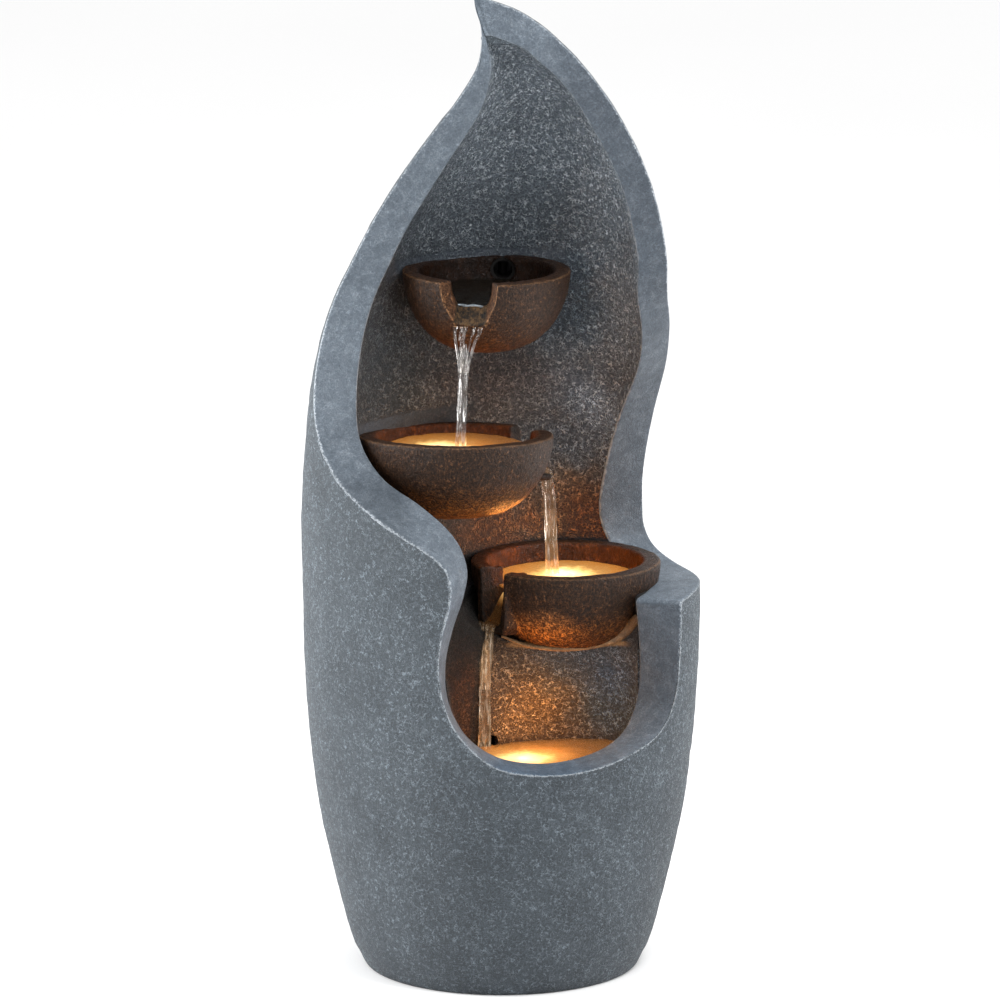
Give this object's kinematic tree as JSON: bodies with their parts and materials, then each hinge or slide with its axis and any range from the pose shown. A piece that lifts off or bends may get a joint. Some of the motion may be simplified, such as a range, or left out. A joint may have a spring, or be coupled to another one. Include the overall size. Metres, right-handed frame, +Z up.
{
  "type": "cascading water feature",
  "caption": "Free-standing flame-shaped garden fountain: spouted bowls step down inside an open recess to a pool, with a pump reservoir and a service hatch behind.",
  "frame": {"origin": "on the ground under the middle of the foot", "axes": "+X to the right as seen from the front, +Y to the back, +Z up"},
  "size_m": [0.3148, 0.2907, 0.78],
  "materials": {
    "casting": "cast resin, hammered slate-blue surface with pale dry-brushed high spots",
    "rim": "cast resin, smoother blue-grey with pale worn edges",
    "recess": "cast resin, dark grey-brown wash",
    "base": "cast resin, plain",
    "bowls": "cast resin, dark bronze-brown with rust highlights, wet inside",
    "pipe": "moulded plastic",
    "hose": "flexible hose",
    "steel": "plain stainless",
    "pump": "moulded plastic, satin",
    "white_plastic": "moulded plastic",
    "dial": "moulded plastic",
    "rubber": "black rubber",
    "housing": "potted plastic",
    "lens": "frosted dome",
    "hatch": "moulded plastic, painted to match the casting",
    "knob": "moulded plastic"
  },
  "bodies": {
    "housing": {"outer_shell": "casting", "rim_band": "rim", "recess_wall": "recess", "pool_basin": "recess", "pool_floor": "recess", "bowl_ledge": "recess", "base_plate": "base", "upper_bowl": "bowls", "middle_bowl": "bowls", "lower_bowl": "bowls", "inlet_elbow": "pipe", "riser_pipe": "hose", "hose_clamps": "steel", "pipe_clips": "pipe", "pump_body": "pump", "suction_feet": "rubber", "pump_outlet": "pump", "led_housings": "housing", "led_lenses": "lens", "led_seals": "rubber", "junction_box": "pump", "cable_gland": "pump", "gland_nut": "pump", "door_frame": "hatch", "door_seal": "rubber", "hinge_pin": "steel", "drain_bush": "pipe", "drain_grate": "pipe"},
    "door": {"door": "hatch"},
    "latch": {"latch_knob": "knob", "latch_cam": "steel"},
    "impeller": {"impeller": "white_plastic"},
    "pump_cover": {"pump_cover": "pump"},
    "flow_dial": {"flow_dial": "dial"},
    "drain_plug": {"drain_plug": "rubber"}
  },
  "joints": [
    {"name": "door_hinge", "type": "hinge", "parent": "housing", "child": "door", "pos_m": [-0.046, 0.14019, 0.16466], "axis": [0, 0.0802, 0.9968], "range_deg": [0, 110]},
    {"name": "latch_turn", "type": "hinge", "parent": "door", "child": "latch", "pos_m": [0.032, 0.136, 0.165], "axis": [0, -0.9968, 0.0802], "range_deg": [0, 90]},
    {"name": "impeller_spin", "type": "hinge", "parent": "housing", "child": "impeller", "pos_m": [0.01, 0.012, 0.032], "axis": [0, 1, 0], "continuous": true},
    {"name": "cover_slide", "type": "slide", "parent": "housing", "child": "pump_cover", "axis": [0, -1, 0], "range_m": [0, 0.02]},
    {"name": "flow_turn", "type": "hinge", "parent": "pump_cover", "child": "flow_dial", "pos_m": [0.01, -0.01, 0.032], "axis": [0, -1, 0], "range_deg": [0, 90]},
    {"name": "drain_pull", "type": "slide", "parent": "housing", "child": "drain_plug", "axis": [0, 1, 0], "range_m": [0, 0.02]}
  ]
}
